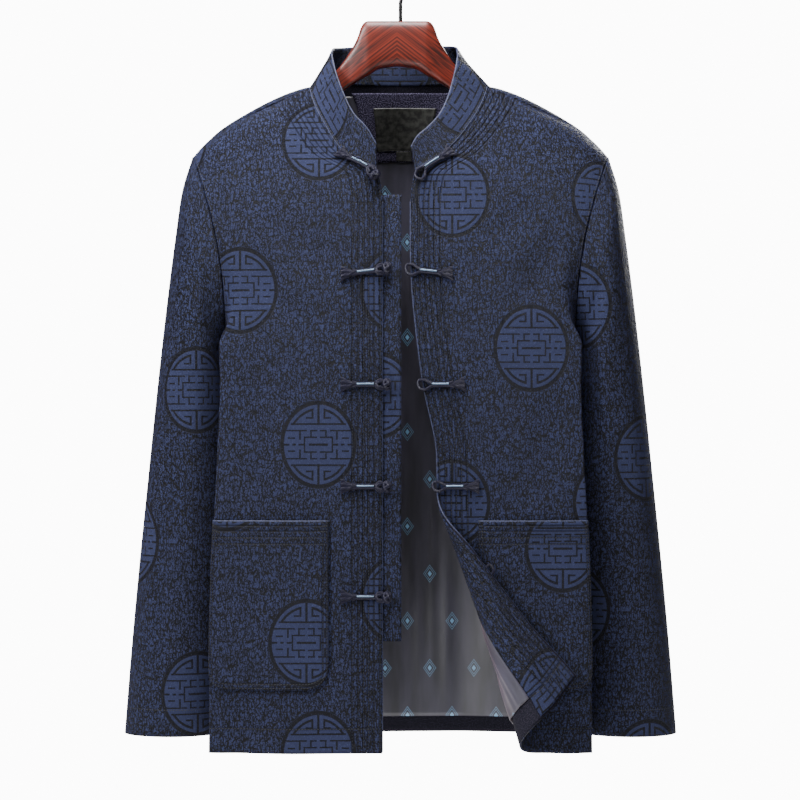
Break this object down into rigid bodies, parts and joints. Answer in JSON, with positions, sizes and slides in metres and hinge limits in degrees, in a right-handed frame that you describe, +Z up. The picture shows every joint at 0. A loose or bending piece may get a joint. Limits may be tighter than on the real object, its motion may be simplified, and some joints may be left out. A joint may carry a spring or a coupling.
{
  "type": "tang jacket on wooden hanger",
  "caption": "Stand-collar jacket with frog closures and patch pockets, open at the front, hanging on a contoured wooden hanger.",
  "frame": {"origin": "underside of the top of the hanger's hook, where a rail carries it", "axes": "+Z up, -Y towards the front of the jacket, +X towards the wearer's left"},
  "size_m": [0.6284, 0.2066, 0.8894],
  "materials": {
    "jacquard": "navy jacquard with a black bark ground and round fret medallions",
    "satin_lining": "dark grey satin with small lozenges",
    "frog_cord": "dark navy bias cord with a pale metallic wrap",
    "label_cloth": "blank woven black label",
    "lacquered_wood": "glossy red-brown lacquer over chevron grain",
    "hook_steel": "black, smooth"
  },
  "bodies": {
    "root": {"front_right": "jacquard", "front_left": "jacquard", "back": "jacquard", "sleeve_right": "jacquard", "sleeve_left": "jacquard", "collar": "jacquard", "pocket_right": "jacquard", "pocket_left": "jacquard", "underlap": "jacquard", "facing_front_left": "jacquard", "lining_front_left": "satin_lining", "lining_back": "satin_lining", "neck_facing": "jacquard", "neck_label": "label_cloth", "size_tag": "label_cloth", "frog_knot_1": "frog_cord", "frog_knot_2": "frog_cord", "frog_knot_3": "frog_cord", "frog_knot_4": "frog_cord", "frog_knot_5": "frog_cord", "frog_loop_1": "frog_cord", "frog_loop_2": "frog_cord", "frog_loop_3": "frog_cord", "frog_loop_4": "frog_cord", "frog_loop_5": "frog_cord", "hanger_wood": "lacquered_wood", "hanger_hook": "hook_steel"}
  },
  "joints": []
}
